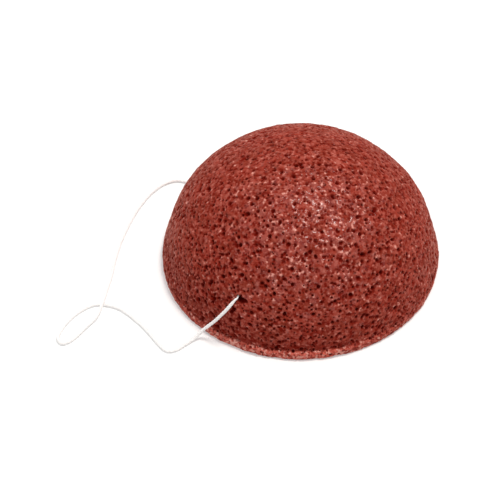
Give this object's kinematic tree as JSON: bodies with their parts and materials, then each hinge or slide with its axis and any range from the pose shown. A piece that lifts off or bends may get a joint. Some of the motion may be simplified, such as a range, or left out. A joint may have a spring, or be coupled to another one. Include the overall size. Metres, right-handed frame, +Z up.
{
  "type": "konjac sponge",
  "caption": "Half-ball konjac face sponge with a flat base, a small lip and open pores, and a cotton hanging string stitched through it that swings about its stitch.",
  "frame": {"origin": "middle of the sponge's flat base, on the surface it stands on", "axes": "+Z up through the crown of the dome, -Y towards the viewer of the picture, +X to the viewer's right; the string lies on the -X side"},
  "size_m": [0.1078, 0.0815, 0.0365],
  "materials": {
    "sponge": "moist moulded konjac fibre with open pores, clay red",
    "string": "matt twisted cotton, white"
  },
  "bodies": {
    "sponge": {"sponge_body": "sponge"},
    "string": {"string_stitch": "string", "string_loop": "string", "string_knot": "string"}
  },
  "joints": [
    {"name": "loop_swing", "type": "hinge", "parent": "sponge", "child": "string", "pos_m": [-0.0167, -0.03126, 0.0167], "axis": [0, 0.9932, -0.1165], "range_deg": [0, 150]}
  ]
}
